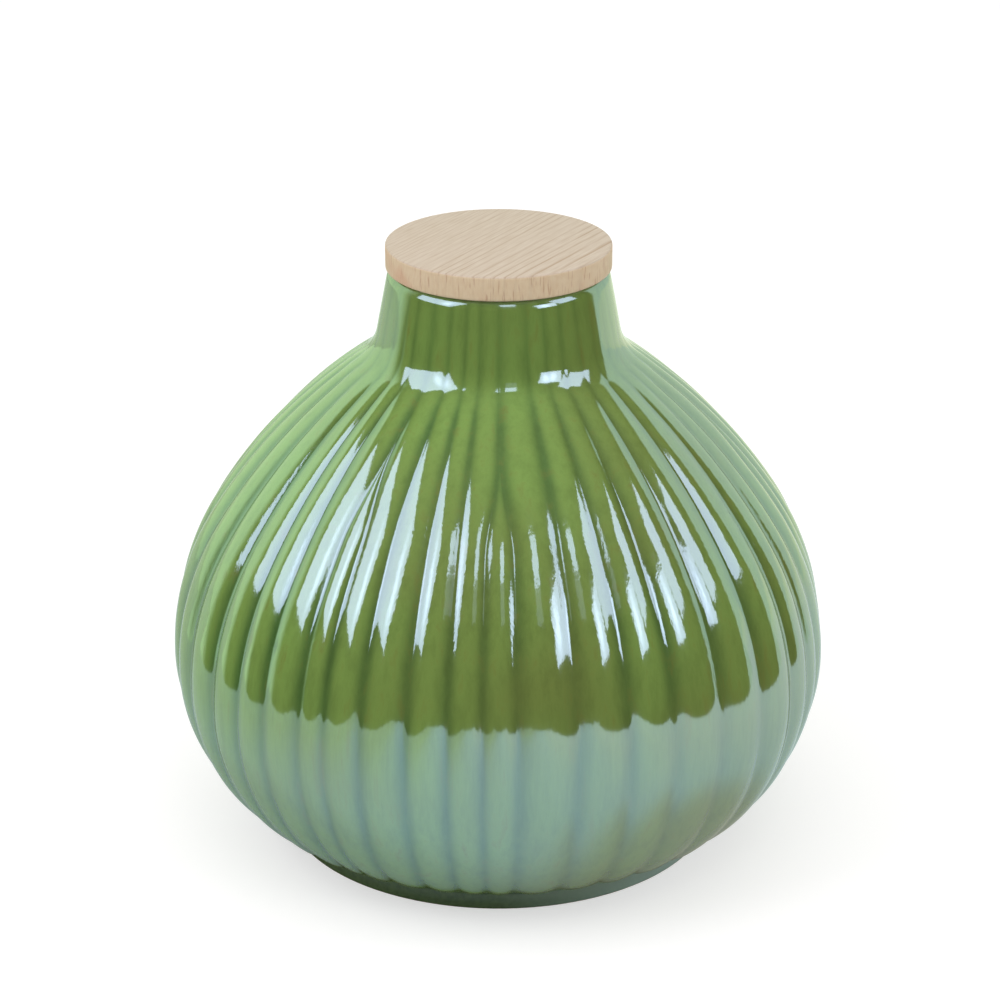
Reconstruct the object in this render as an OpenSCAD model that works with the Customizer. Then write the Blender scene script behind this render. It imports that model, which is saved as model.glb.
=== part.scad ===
// Ribbed ginger jar in glazed earthenware with a flat wooden lid.
// Millimetres, +Z up, origin at the centre of the foot's underside, the seen side towards -Y.

/* [Jar body] */
// Diameter over the widest ribs at the belly
belly_d = 161; // [150:0.2:175]
// Height of the widest point above the table
belly_z = 47.3; // [44:0.1:51]
// Radius of the arc that runs from the belly down to the foot
lower_r = 50.2; // [48:0.1:54]
// Radius of the arc just above the belly
upper_r = 67.6; // [62:0.1:72]
// Angle that this arc covers before the shoulder takes over
upper_sweep = 32.8; // [28:0.1:37]
// Radius of the flat shoulder arc
shoulder_r = 136; // [122:1:150]
// Thickness of the wall behind the grooves between the ribs
wall = 4.2; // [3:0.1:6]
// Thickness of the floor over the recess in the foot
floor_t = 5; // [4:0.1:8]

/* [Neck and lip] */
// Outer diameter of the neck just under the lip
neck_d = 53.6; // [50:0.2:58]
// Height of the neck from the shoulder to the rim
neck_h = 20.4; // [17:0.1:25]
// Angle by which the neck widens towards the shoulder
neck_taper = 11; // [8:0.5:15]
// Wall between the neck's outside and its straight bore
neck_wall = 5.3; // [4.8:0.1:6]
// Hollow radius where the neck grows out of the shoulder
root_r = 11; // [6:0.5:14]
// Rounding on the outside of the lip
lip_r = 3.5; // [2.5:0.1:4.5]
// Angle at which that rounding meets the flat rim
lip_end = 65; // [50:1:75]
// Rounding on the inside edge of the mouth
mouth_r = 0.8; // [0.4:0.1:1.2]

/* [Foot] */
// Outer diameter of the plain foot ring
foot_d = 107.5; // [102:0.5:110]
// Height at which the ribs begin
foot_h = 5.4; // [4:0.1:6.5]
// How far the ribs' undersides run in behind the foot's face
rib_tuck = 1.5; // [1:0.1:2.5]
// How far those undersides fall on the way in
rib_drop = 1.2; // [0.8:0.1:2]
// Width of the ring that stands on the table
foot_ring_w = 7; // [5:0.5:10]
// Depth of the recess inside the ring
foot_recess = 2.6; // [1.5:0.1:3.5]
// Bevel on the ring's outer edge
foot_bevel = 0.7; // [0.3:0.1:1.2]

/* [Ribs] */
// Relative widths of the ribs in one run of the hand-cut rhythm
rib_rhythm = [8, 7, 8, 5, 7, 8, 7, 6, 6, 10, 9, 8.5, 10, 10, 10.5];
// How many times the rhythm runs round the jar
rib_runs = 3; // [2:1:3]
// Places in the rhythm of the short ribs, which close to a point on the shoulder
short_ribs = [3, 8];
// Share of its width that a short rib keeps at the neck
short_keep = 0.15; // [0.15:0.05:0.5]
// Distance below the neck at which the short ribs have closed
short_end = 11; // [2:0.5:15]
// Height over which they close
short_run = 18; // [12:1:60]
// Rise of a rib above the grooves beside it, as a share of its width
rib_rise = 0.105; // [0.05:0.005:0.14]
// How flat the crest of a rib is: 0 makes it a plain parabola
crest_flat = 0.1; // [0:0.05:0.7]
// Share of their rise that the ribs have at the foot
foot_share = 0.5; // [0.4:0.05:1]
// Share of their rise that they keep where the neck begins
neck_share = 0.2; // [0:0.05:0.6]
// Distance below the neck at which they begin to flatten
fade_below = 6; // [4:0.5:16]
// Distance above its root at which only that share is left; from there they run out to the rim
fade_above = 1; // [0:0.5:6]
// Angle of the first groove of the rhythm, from the seen side
rib_turn = -58.7; // [-180:0.1:180]

/* [Lid] */
// Diameter of the lid's flange
lid_d = 53.8; // [50:0.2:58]
// Thickness of the flange
lid_t = 5.9; // [4:0.1:9]
// Rounding on the flange's edges
lid_edge_r = 0.6; // [0.4:0.1:1.5]
// Length of the plug that goes down into the neck
plug_h = 12; // [10:0.5:16]
// Gap between the plug and the neck's bore
plug_gap = 1.3; // [1:0.1:1.8]
// Bevel round the plug's lower end
plug_bevel = 1; // [0.5:0.1:1.5]

/* [Seal] */
// Height of the silicone ring
seal_h = 6; // [5:0.1:7]
// Depth of the groove that holds it in the plug
groove_depth = 2; // [1.4:0.1:2.6]
// Height from the plug's lower end to the groove
groove_up = 3; // [2.2:0.1:3.6]
// Number of lips on the ring
seal_lips = 2; // [1:1:3]
// Thickness of a lip where it leaves the band
lip_root = 1.4; // [1:0.1:1.6]
// Thickness of a lip at its tip
lip_tip = 0.6; // [0.4:0.1:0.9]
// How far a lip rises on its way out to the bore
lip_rise = 0.7; // [0.3:0.1:0.9]

/* [Clearances] */
// Gap between the ring's lips and the bore, at its pressed size
seal_gap = 0.2; // [0.1:0.05:0.3]
// Gap between the ring and its groove
groove_gap = 0.12; // [0.08:0.02:0.2]

/* [Hidden] */
$fn = 144;

// Steps of the ribbed skin: across one rib, and along each stretch of the outline
rib_steps = 5;
lower_steps = 7;
upper_steps = 3;
shoulder_steps = 6;
root_steps = 4;
lip_steps = 3;

// Centres of the arcs that make the jar's outline, as [radius, height]
belly_r = belly_d / 2;
lower_c = [belly_r - lower_r, belly_z];
upper_c = [belly_r - upper_r, belly_z];
shoulder_z = belly_z + upper_r * sin(upper_sweep);
shoulder_c = upper_c + (upper_r - shoulder_r) * [cos(upper_sweep), sin(upper_sweep)];

// The neck stands where the shoulder reaches its root radius
neck_r = neck_d / 2;
root_at = neck_r + neck_h * tan(neck_taper);
root_z = shoulder_c[1] + sqrt(pow(shoulder_r, 2) - pow(root_at - shoulder_c[0], 2));
rim_z = root_z + neck_h;
bore_r = neck_r - neck_wall;

// The straight neck line ends at neck_end, where the lip begins to round over
neck_up = [-sin(neck_taper), cos(neck_taper)];
neck_out = [cos(neck_taper), sin(neck_taper)];
neck_end = [neck_r, rim_z - lip_r * (sin(lip_end) - sin(neck_taper))];
lip_c = neck_end - lip_r * neck_out;

// Centre of the hollow that touches both the shoulder arc and the neck line
root_v = neck_end + root_r * neck_out - shoulder_c;
root_s = root_v * neck_up - sqrt(pow(root_v * neck_up, 2) - root_v * root_v + pow(shoulder_r + root_r, 2));
root_c = shoulder_c + root_v - root_s * neck_up;
shoulder_end = atan2(root_c[1] - shoulder_c[1], root_c[0] - shoulder_c[0]);

// The ribs start on the lower arc at the top of the foot
lower_start = asin((foot_h - belly_z) / lower_r);

// Ribs: the whole rhythm takes one run of the circle, and the widest rib touches the outline
rib_n = len(rib_rhythm);
run_a = 360 / rib_runs;
rib_unit = run_a / (rib_rhythm * [for (w = rib_rhythm) 1]);
rib_max = max(rib_rhythm) * rib_unit;
groove = rib_rise * rib_max * PI / 180;

// Lid and seal sizes that follow the neck
plug_r = bore_r - plug_gap;
plug_z = rim_z - plug_h;
groove_r = plug_r - groove_depth;
seal_z = plug_z + groove_up;

// Points of an arc, from angle a to angle b
function arc(c, r, a, b, n) = [for (i = [0:n]) c + r * [cos(a + (b - a) * i / n), sin(a + (b - a) * i / n)]];

// A list without its first entry, so that stretches of the outline join without double points
function after_first(l) = [for (i = [1:len(l) - 1]) l[i]];

// Smooth step from 0 at a to 1 at b
function ease(x, a, b) = let (t = min(1, max(0, (x - a) / (b - a)))) t * t * (3 - 2 * t);

// Whether rib i of the rhythm is a short one, as 1 or 0
function short(i) = len(search(i, short_ribs)) > 0 ? 1 : 0;

// Share of its width that a short rib has lost at height z
function lost(z) = (1 - short_keep) * ease(z, root_z - short_end - short_run, root_z - short_end);

// Width of rib i at height z: what a short rib loses goes to the two ribs beside it
function lost_w(i, z) = short(i) * rib_rhythm[i] * lost(z);
function rib_w(i, z) = rib_unit * (rib_rhythm[i] - lost_w(i, z)
    + (lost_w((i + 1) % rib_n, z) + lost_w((i + rib_n - 1) % rib_n, z)) / 2);

// Angles of the grooves at height z, the first one at rib_turn
function sums(l, i = 0, s = 0) = i == len(l) ? [s] : concat([s], sums(l, i + 1, s + l[i]));
function grooves(z) = sums([for (i = [0:rib_n - 1]) rib_w(i, z)]);

// Share of their rise that the ribs have at height z: less at the foot, little on the neck, none at the rim
function depth(z) = (foot_share + (1 - foot_share) * ease(z, foot_h, shoulder_z))
    * (1 - (1 - neck_share) * ease(z, root_z - fade_below, root_z + fade_above))
    * (1 - ease(z, root_z + fade_above, rim_z));

// Height of a rib's arch across its width, from 0 in the grooves (x = -1 and 1) to 1 on the crest
function arch(x) = 1 - x * x * (1 - crest_flat + crest_flat * x * x);

// One ring of the ribbed skin: each rib is a low arch between two grooves
function ring(p, d) = let (g = grooves(p[1]))
    [for (k = [0:rib_runs - 1], i = [0:rib_n - 1], s = [0:rib_steps - 1])
        let (w = g[i + 1] - g[i])
        let (a = rib_turn + k * run_a + g[i] + w * s / rib_steps - 90)
        let (rise = rib_rise * w * PI / 180 * arch(2 * s / rib_steps - 1))
        let (r = p[0] * (1 - d * (groove - rise)))
        [r * cos(a), r * sin(a), p[1]]];

// The outline from the foot to above the rim, as [radius, height]; its first point is hidden in the foot
outline = concat(
    [[foot_d / 2 - rib_tuck, foot_h - rib_drop]],
    arc(lower_c, lower_r, lower_start, 0, lower_steps),
    after_first(arc(upper_c, upper_r, 0, upper_sweep, upper_steps)),
    after_first(arc(shoulder_c, shoulder_r, upper_sweep, shoulder_end, shoulder_steps)),
    after_first(arc(root_c, root_r, shoulder_end + 180, neck_taper + 180, root_steps)),
    arc(lip_c, lip_r, neck_taper, 90, lip_steps)
);

// Skin over the rings of an outline, closed at both ends
module ribbed_skin() {
    rings = [for (i = [0:len(outline) - 1]) ring(outline[i], i == 0 ? 0 : depth(outline[i][1]))];
    n = len(rings[0]);
    m = len(rings);
    pts = [for (r = rings, p = r) p];
    sides = [for (j = [0:m - 2], i = [0:n - 1], t = [0, 1])
        let (a = j * n + i)
        let (b = j * n + (i + 1) % n)
        t == 0 ? [a, b + n, b] : [a, a + n, b + n]];
    polyhedron(pts, concat([[for (i = [0:n - 1]) i]], sides, [[for (i = [0:n - 1]) m * n - 1 - i]]));
}

// Outline of the hollow, one arc above the other, each concentric with the skin outside it
module hollow_profile() {
    in_lower = lower_r - groove * belly_r - wall;
    in_upper = upper_r - groove * belly_r - wall;
    in_shoulder = shoulder_r - groove * belly_r - wall;
    floor_z = foot_recess + floor_t;
    join_z = upper_c[1] + in_upper * sin(upper_sweep);
    mouth_z = shoulder_c[1] + sqrt(pow(in_shoulder, 2) - pow(bore_r - shoulder_c[0], 2));
    intersection() {
        union() {
            translate(lower_c) circle(in_lower);
            translate([0, floor_z]) square([lower_c[0], belly_z - floor_z]);
        }
        translate([0, floor_z]) square([belly_d, belly_z - floor_z]);
    }
    intersection() {
        translate(upper_c) circle(in_upper);
        translate([0, belly_z]) square([belly_d, join_z - belly_z]);
    }
    intersection() {
        translate(shoulder_c) circle(in_shoulder);
        translate([0, join_z]) square([belly_d, mouth_z - join_z]);
    }
    translate([0, join_z]) square([bore_r, rim_z - join_z]);
}

// Cutter that takes off all above the rim and rounds the mouth's inner edge
module mouth_profile() {
    difference() {
        translate([0, rim_z - mouth_r]) square([bore_r + mouth_r, mouth_r]);
        translate([bore_r + mouth_r, rim_z - mouth_r]) circle(mouth_r);
    }
    translate([0, rim_z]) square([neck_d, neck_d]);
}

// Plain foot ring, a turned band that the ribs overhang
module foot_profile() {
    r = foot_d / 2;
    polygon([[0, 0], [r - foot_bevel, 0], [r, foot_bevel], [r, foot_h], [0, foot_h]]);
}

module jar() {
    color([0.43, 0.54, 0.29])
    difference() {
        union() {
            ribbed_skin();
            rotate_extrude() foot_profile();
        }
        rotate_extrude() hollow_profile();
        rotate_extrude() mouth_profile();
        translate([0, 0, -foot_recess]) cylinder(r = foot_d / 2 - foot_ring_w, h = 2 * foot_recess);
    }
}

// Half outline of the lid: flange with rounded edges, plug with a bevel and a groove
module lid_profile() {
    r = lid_d / 2;
    top = rim_z + lid_t;
    difference() {
        union() {
            translate([0, rim_z]) square([r - lid_edge_r, lid_t]);
            translate([0, rim_z + lid_edge_r]) square([r, lid_t - 2 * lid_edge_r]);
            for (z = [rim_z + lid_edge_r, top - lid_edge_r])
                translate([r - lid_edge_r, z]) circle(lid_edge_r);
            polygon([[0, plug_z], [plug_r - plug_bevel, plug_z], [plug_r, plug_z + plug_bevel],
                [plug_r, rim_z + lid_edge_r], [0, rim_z + lid_edge_r]]);
        }
        translate([groove_r, seal_z - groove_gap]) square([plug_r, seal_h + 2 * groove_gap]);
    }
}

module lid() {
    color([0.85, 0.72, 0.55])
    rotate_extrude() lid_profile();
}

// One thin lip of the ring: it leaves the band and reaches up and out to the bore
function seal_lip(z) = let (tip = bore_r - seal_gap)
    [[plug_r, z], [tip, z + lip_rise], [tip, z + lip_rise + lip_tip], [plug_r, z + lip_root]];

// Half outline of the silicone ring: a band in the groove with its lips, one above the other
module seal_profile() {
    inner = groove_r + groove_gap;
    pitch = seal_h / seal_lips;
    lips = [for (i = [0:seal_lips - 1], p = seal_lip(seal_z + pitch * (i + 0.5) - lip_root / 2)) p];
    polygon(concat([[inner, seal_z], [plug_r, seal_z]], lips,
        [[plug_r, seal_z + seal_h], [inner, seal_z + seal_h]]));
}

module seal_ring() {
    color([0.9, 0.9, 0.88])
    rotate_extrude() seal_profile();
}

jar();
lid();
seal_ring();
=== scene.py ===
# %% [markdown]
# A ribbed ginger jar: a glazed earthenware body, a flat beech lid and a silicone ring that hides in the
# neck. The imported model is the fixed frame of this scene. Its three rigid pieces stand where they belong,
# in metres, with the origin under the middle of the foot and the seen side towards -Y. Each step below
# makes one finer piece or one finish, and each finer piece takes the place of a packed one and moves with
# the same body.

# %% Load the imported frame
import math

import bmesh
import bpy
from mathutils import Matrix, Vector


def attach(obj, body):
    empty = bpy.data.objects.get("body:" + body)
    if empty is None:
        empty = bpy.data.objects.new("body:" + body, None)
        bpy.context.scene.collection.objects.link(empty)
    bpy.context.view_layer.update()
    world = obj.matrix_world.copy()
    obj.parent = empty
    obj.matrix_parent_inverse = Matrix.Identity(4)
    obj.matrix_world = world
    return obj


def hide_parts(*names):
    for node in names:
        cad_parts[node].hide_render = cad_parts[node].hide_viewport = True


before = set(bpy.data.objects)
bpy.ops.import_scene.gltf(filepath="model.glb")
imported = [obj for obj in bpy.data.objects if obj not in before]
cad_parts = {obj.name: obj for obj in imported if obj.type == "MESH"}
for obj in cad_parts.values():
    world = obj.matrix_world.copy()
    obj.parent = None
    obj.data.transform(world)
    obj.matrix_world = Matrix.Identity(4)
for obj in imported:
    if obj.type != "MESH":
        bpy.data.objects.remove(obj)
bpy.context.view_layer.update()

MM = 0.001

# %% [markdown]
# Shaders work in linear light, while a colour is given as an sRGB hex code, so one function turns
# the one into the other. Node trees could be drawn by hand in the node editor. Written as code they can
# be read, compared and run again, so one function adds a node, sets it up and links it. It calls an input
# by its number where several share a name: a Map Range has its value at 0, the span it reads at 1 and 2
# and the span it gives at 3 and 4, a Mix of numbers has its share at 0 and the two numbers at 2 and 3,
# and a Mix of colours has them at 6 and 7 and gives its result at output 2.

# %% Helpers for colours and nodes
SMOOTH = {"interpolation_type": "SMOOTHSTEP"}
COLOUR = {"data_type": "RGBA"}


def linear(code):
    """Turns an sRGB hex colour into the linear values that shaders use."""
    parts = [int(code[i:i + 2], 16) / 255 for i in (1, 3, 5)]
    return [c / 12.92 if c <= 0.04045 else ((c + 0.055) / 1.055) ** 2.4 for c in parts] + [1.0]


def add(tree, kind, inputs=None, **settings):
    """Adds one node, sets it up, fills or links its inputs, and returns its outputs.

    A kind without the word Node is short for a ShaderNode, so "Math" means ShaderNodeMath.
    """
    made = tree.nodes.new(kind if "Node" in kind else "ShaderNode" + kind)
    for name, value in settings.items():
        setattr(made, name, value)
    for key, value in (inputs or {}).items():
        if isinstance(value, bpy.types.NodeSocket):
            tree.links.new(value, made.inputs[key])
        else:
            made.inputs[key].default_value = value
    return made.outputs


print("leaf green in linear light:", [round(c, 3) for c in linear("#86AA53")])

# %% [markdown]
# The photograph was taken with a long lens from a little above. The camera could be placed by eye, but
# the jar's outline fixes it: 744 mm from a point near the jar's middle, 22.5 degrees above the level. A
# camera in Blender looks down its own -Z axis, so it is turned until that axis points at the aim.

# %% Camera
AIM = Vector((0.3, 0.0, 83.7)) * MM
CAMERA_DISTANCE = 743.8 * MM
CAMERA_RISE = math.radians(22.5)
LENS_MM, SENSOR_MM = 109.4, 36.0


def show(name, data):
    """Puts new data into the scene as an object at the origin."""
    made = bpy.data.objects.new(name, data)
    bpy.context.scene.collection.objects.link(made)
    return made


camera = show("camera", bpy.data.cameras.new("camera"))
camera.data.lens = LENS_MM
camera.data.sensor_width = SENSOR_MM
camera.location = AIM + CAMERA_DISTANCE * Vector((0, -math.cos(CAMERA_RISE), math.sin(CAMERA_RISE)))
camera.rotation_euler = (AIM - camera.location).to_track_quat("-Z", "Y").to_euler()
bpy.context.scene.camera = camera
bpy.context.scene.view_settings.view_transform = "Standard"
print("camera at", [round(c, 3) for c in camera.location])

# %% [markdown]
# The jar stands on a white table. A lamp strong enough to make the table pure white would bleach the jar,
# so the table is matt, takes the shadow, and glows a little for the camera. The glaze mirrors the table
# in its whole lower half, where a lustre shows pale blue-green. A picture of a studio could be mirrored
# instead, but slopes of light are easier to set: the glow grows to the right, stays clear of the foot and
# rises once more far behind.

# %% Glow of the table
WHITE_GLOW = 0.52
SIDE_GLOW, SIDE_REACH = 0.66, 200 * MM
SHADE_AT, SHADE_NEAR, SHADE_FAR = (-30 * MM, 0, 0), 55 * MM, 95 * MM
SWEEP_GLOW, SWEEP_NEAR, SWEEP_FAR = 0.18, 60 * MM, 400 * MM


def table_glow(tree, ray, spot, warm):
    """The table's own light: white for the camera, and for mirrors a slope to the right and one behind."""
    across = add(tree, "SeparateXYZ", {0: spot})
    side = add(tree, "MapRange", {0: across["X"], 1: -SIDE_REACH, 2: SIDE_REACH, 3: 0.0, 4: SIDE_GLOW})
    away = add(tree, "VectorMath", {0: spot, 1: SHADE_AT}, operation="DISTANCE")
    clear = add(tree, "MapRange", {0: away["Value"], 1: SHADE_NEAR, 2: SHADE_FAR}, **SMOOTH)
    front = add(tree, "Math", {0: side[0], 1: clear[0]}, operation="MULTIPLY")
    sweep = add(tree, "MapRange", {0: across["Y"], 1: SWEEP_NEAR, 2: SWEEP_FAR}, **SMOOTH)
    whole = add(tree, "Math", {0: sweep[0], 1: SWEEP_GLOW, 2: front[0]}, operation="MULTIPLY_ADD")
    mirror = add(tree, "Math", {0: ray["Is Glossy Ray"], 1: ray["Is Transmission Ray"]},
                 operation="MAXIMUM")
    mirror = add(tree, "Math", {0: mirror[0], 1: whole[0]}, operation="MULTIPLY")
    power = add(tree, "Math", {0: ray["Is Camera Ray"], 1: WHITE_GLOW, 2: mirror[0]},
                operation="MULTIPLY_ADD")
    tint = add(tree, "Mix", {0: sweep[0], 6: linear("#DCF2F2"), 7: linear("#EAF9C8")}, **COLOUR)
    # In the patch of painted brown shade the mirrored glow turns brown too.
    tint = add(tree, "Mix", {0: warm, 6: tint[2], 7: linear("#C4B9A4")}, **COLOUR)
    tint = add(tree, "Mix", {0: ray["Is Camera Ray"], 6: tint[2], 7: linear("#FFFFFF")}, **COLOUR)
    return add(tree, "Emission", {"Color": tint[2], "Strength": power[0]})[0]


print("the table's glow reaches", SIDE_GLOW, "on the right and", SWEEP_GLOW, "behind")

# %% [markdown]
# Where the foot meets the table, a real glaze mirrors a dark line of contact, and in the photograph the
# rib ends on the right turn brownish. Paint on the jar can't show there, because at such a flat angle the
# glaze is nearly all mirror. So a painted contact shadow and a patch of painted brown shade lie on the
# table, and only mirrors see them.

# %% Colours that mirrors see on the table
MIDDLE_NEAR, MIDDLE_FAR = 30 * MM, 200 * MM
LEFT_TO_RIGHT = 150 * MM
CONTACT_NEAR, CONTACT_FAR = 53.5 * MM, 59.5 * MM


def table_colour(tree, ray, spot, warm):
    """Colour of the matt table: plain when lit or seen; for mirrors tinted, with painted shade in front and
    at the foot.
    """
    across = add(tree, "SeparateXYZ", {0: spot})
    off = add(tree, "Math", {0: across["X"]}, operation="ABSOLUTE")
    off = add(tree, "MapRange", {0: off[0], 1: MIDDLE_NEAR, 2: MIDDLE_FAR}, **SMOOTH)
    rightward = add(tree, "MapRange", {0: across["X"], 1: -LEFT_TO_RIGHT, 2: LEFT_TO_RIGHT})
    sides = add(tree, "Mix", {0: rightward[0], 6: linear("#C9D6BC"), 7: linear("#CCC8BC")}, **COLOUR)
    seen = add(tree, "Mix", {0: off[0], 6: linear("#C4D4DA"), 7: sides[2]}, **COLOUR)
    # Painted shade: a brownish patch in front of the jar, seen only in mirrors.
    seen = add(tree, "Mix", {0: warm, 6: seen[2], 7: linear("#AFA294")}, **COLOUR)
    radius = add(tree, "VectorMath", {0: spot}, operation="LENGTH")
    open_table = add(tree, "MapRange", {0: radius["Value"], 1: CONTACT_NEAR, 2: CONTACT_FAR}, **SMOOTH)
    # Painted contact shadow: dark brown in a ring round the foot, seen only in mirrors.
    seen = add(tree, "Mix", {0: open_table[0], 6: linear("#4A3E2E"), 7: seen[2]}, **COLOUR)
    return add(tree, "Mix", {0: ray["Is Glossy Ray"], 6: linear("#CCCCC8"), 7: seen[2]}, **COLOUR)[2]


print("contact shade up to", round(CONTACT_FAR / MM, 1), "mm from the axis")

# %% [markdown]
# The table is a single flat face. A plain square would take the shadow just as well, but the sides of the
# jar mirror what lies beside it, and there the photograph is dark green. So the table is narrow beside
# the jar, where the dark room shows past it, and wide behind it.

# %% White table
TABLE_FRONT, TABLE_SIDE, TABLE_BACK = 860 * MM, 270 * MM, 1000 * MM
FLARE_FROM, FLARE_TO = 88 * MM, 325 * MM
# Where the table's mirror-only patch of painted brown shade lies, and how strongly it shows.
WARM_AT, WARM_NEAR, WARM_FAR, WARM_SHARE = (50 * MM, -45 * MM, 0), 22 * MM, 58 * MM, 0.7


def empty_tree(owner):
    """Gives a material, lamp or world an empty node tree."""
    owner.use_nodes = True
    owner.node_tree.nodes.clear()
    return owner.node_tree


def table_material():
    """White table: matt lacquer that gives the eye a soft shadow on a pure white ground."""
    made = bpy.data.materials.new("white_table")
    tree = empty_tree(made)
    ray = add(tree, "LightPath")
    spot = add(tree, "TexCoord")["Object"]
    warm = add(tree, "VectorMath", {0: spot, 1: WARM_AT}, operation="DISTANCE")
    warm = add(tree, "MapRange", {0: warm["Value"], 1: WARM_NEAR, 2: WARM_FAR, 3: WARM_SHARE, 4: 0.0},
               **SMOOTH)
    matt = add(tree, "BsdfDiffuse", {"Color": table_colour(tree, ray, spot, warm[0])})
    both = add(tree, "AddShader", {0: matt[0], 1: table_glow(tree, ray, spot, warm[0])})
    add(tree, "OutputMaterial", {"Surface": both[0]})
    return made


half = [(TABLE_SIDE, -TABLE_FRONT), (TABLE_SIDE, FLARE_FROM)]
half += [(TABLE_BACK, FLARE_TO), (TABLE_BACK, TABLE_BACK)]
rim = half + [(-x, y) for x, y in reversed(half)]
top = bpy.data.meshes.new("table")
top.from_pydata([(x, y, 0) for x, y in rim], [], [range(len(rim))])
top.materials.append(table_material())
floor = show("table", top)
print("table with", len(rim), "corners and", len(top.materials[0].node_tree.nodes), "nodes")

# %% [markdown]
# The long white streaks on the ribs are mirrored soft boxes. Bulbs would give dots, so the lamps are
# rectangles: a large box on the left, two on the right and a small pair above the front. In the
# photograph the streaks are whitest along their middle, as the cloth in front of a flash is, so a smaller
# lamp that fades to its edges hangs before the left box and before the first right one.

# %% Soft boxes
BOX_AIM = Vector((0, 0, 75)) * MM
BOX_TINT, CORE_TINT = "#F8F0FF", "#FCF4FF"
# Name, degrees right of the camera, degrees up, metres away, width, height, watts, colour, fading edge.
SOFT_BOXES = [
    ("box_left", -70, 35.7, 1.0, 0.75, 0.65, 4.2, BOX_TINT, False),
    ("core_left", -57, 35, 0.98, 0.28, 0.66, 1.15, CORE_TINT, True),
    ("box_right", 50, 26.5, 1.0, 0.36, 0.40, 1.4, BOX_TINT, False),
    ("core_right", 48, 27.5, 0.98, 0.26, 0.52, 0.95, CORE_TINT, True),
    ("box_far_right", 75, 34, 1.0, 0.36, 0.45, 1.35, BOX_TINT, False),
    ("box_front", 11, 50, 1.0, 0.20, 0.16, 0.24, BOX_TINT, False),
    ("glow_front", 11, 40, 0.99, 0.20, 0.18, 0.04, CORE_TINT, False),
]


def fade_to_edge(lamp):
    """Lets a lamp's light run out from its middle to its edge, like the bright heart of a soft box."""
    tree = empty_tree(lamp)
    place = add(tree, "NewGeometry")["Parametric"]
    middle = add(tree, "VectorMath", {0: place, 1: (2, 2, 0), 2: (-1, -1, 0)}, operation="MULTIPLY_ADD")
    off = add(tree, "VectorMath", {0: middle[0]}, operation="LENGTH")
    fade = add(tree, "MapRange", {0: off["Value"], 3: 1.0, 4: 0.0}, **SMOOTH)
    glow = add(tree, "Emission", {"Strength": fade[0]})
    add(tree, "OutputLight", {"Surface": glow[0]})


def soft_box(name, azimuth, rise, distance, width, height, power, colour, fading):
    """A rectangular lamp that looks at the jar."""
    lamp = bpy.data.lights.new(name, "AREA")
    lamp.shape = "RECTANGLE"
    lamp.size = width
    lamp.size_y = height
    lamp.energy = power
    lamp.color = linear(colour)[:3]
    if fading:
        fade_to_edge(lamp)
    turn, up = math.radians(azimuth), math.radians(rise)
    away = Vector((math.sin(turn) * math.cos(up), -math.cos(turn) * math.cos(up), math.sin(up)))
    box = show(name, lamp)
    box.location = BOX_AIM + distance * away
    box.rotation_euler = (-away).to_track_quat("-Z", "Y").to_euler()


for row in SOFT_BOXES:
    soft_box(*row)
print("soft boxes:", ", ".join(row[0] for row in SOFT_BOXES))

# %% [markdown]
# The rest of the room is mirrored too. A white backdrop stands behind the jar and is mirrored in its far
# sides, while the unlit room on the camera's side keeps the middle of the jar dark green. Walls could be
# modelled, but the world shader gives the same mirror picture from the direction of a ray alone. The
# camera sees plain white there, and matt surfaces get an even fill from above.

# %% Room in the world shader
BACKDROP_GLOW, BACKDROP_TOP, BACKDROP_END = 1.3, 0.6, 0.66
EDGE_RIGHT, EDGE_LEFT = (0.28, 0.32), (0.1, 0.42)
LEFT_FROM, LEFT_TO, TINT_REACH = 0.1, -0.5, 0.6
CEILING_HEIGHT = 0.95
FILL_LOW, FILL_HIGH = 0.03, 1.1

world = bpy.data.worlds.new("studio")
bpy.context.scene.world = world
tree = empty_tree(world)
ray = add(tree, "LightPath")
way = add(tree, "SeparateXYZ", {0: add(tree, "TexCoord")["Generated"]})
# The backdrop's edge is sharp on the right and runs out softly on the left.
leftward = add(tree, "MapRange", {0: way["X"], 1: LEFT_FROM, 2: LEFT_TO})
near_edge = add(tree, "Mix", {0: leftward[0], 2: EDGE_RIGHT[0], 3: EDGE_LEFT[0]})
far_edge = add(tree, "Mix", {0: leftward[0], 2: EDGE_RIGHT[1], 3: EDGE_LEFT[1]})
behind = add(tree, "MapRange", {0: way["Y"], 1: near_edge[0], 2: far_edge[0]}, **SMOOTH)
below_top = add(tree, "MapRange", {0: way["Z"], 1: BACKDROP_END, 2: BACKDROP_TOP}, **SMOOTH)
backdrop = add(tree, "Math", {0: behind[0], 1: below_top[0]}, operation="MULTIPLY")
rightward = add(tree, "MapRange", {0: way["X"], 1: -TINT_REACH, 2: TINT_REACH})
white = add(tree, "Mix", {0: rightward[0], 6: linear("#E6FCC8"), 7: linear("#DDEEDC")}, **COLOUR)
white = add(tree, "VectorMath", {0: white[2], 3: BACKDROP_GLOW}, operation="SCALE")
high = add(tree, "MapRange", {0: way["Z"], 1: BACKDROP_TOP, 2: CEILING_HEIGHT})
dark = add(tree, "Mix", {0: high[0], 6: linear("#1C1E1A"), 7: linear("#828B56")}, **COLOUR)
mirrored = add(tree, "Mix", {0: backdrop[0], 6: dark[2], 7: white[0]}, **COLOUR)
fill = add(tree, "MapRange", {0: way["Z"], 3: FILL_LOW, 4: FILL_HIGH})
lighting = add(tree, "Mix", {0: ray["Is Glossy Ray"], 6: fill[0], 7: mirrored[2]}, **COLOUR)
plain = add(tree, "Math", {0: ray["Is Camera Ray"], 1: ray["Is Transmission Ray"]}, operation="MAXIMUM")
shown = add(tree, "Mix", {0: plain[0], 6: lighting[2], 7: linear("#FFFFFF")}, **COLOUR)
room = add(tree, "Background", {"Color": shown[2], "Strength": 1.0})
add(tree, "OutputWorld", {"Surface": room[0]})
print("world nodes:", len(tree.nodes))

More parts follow.
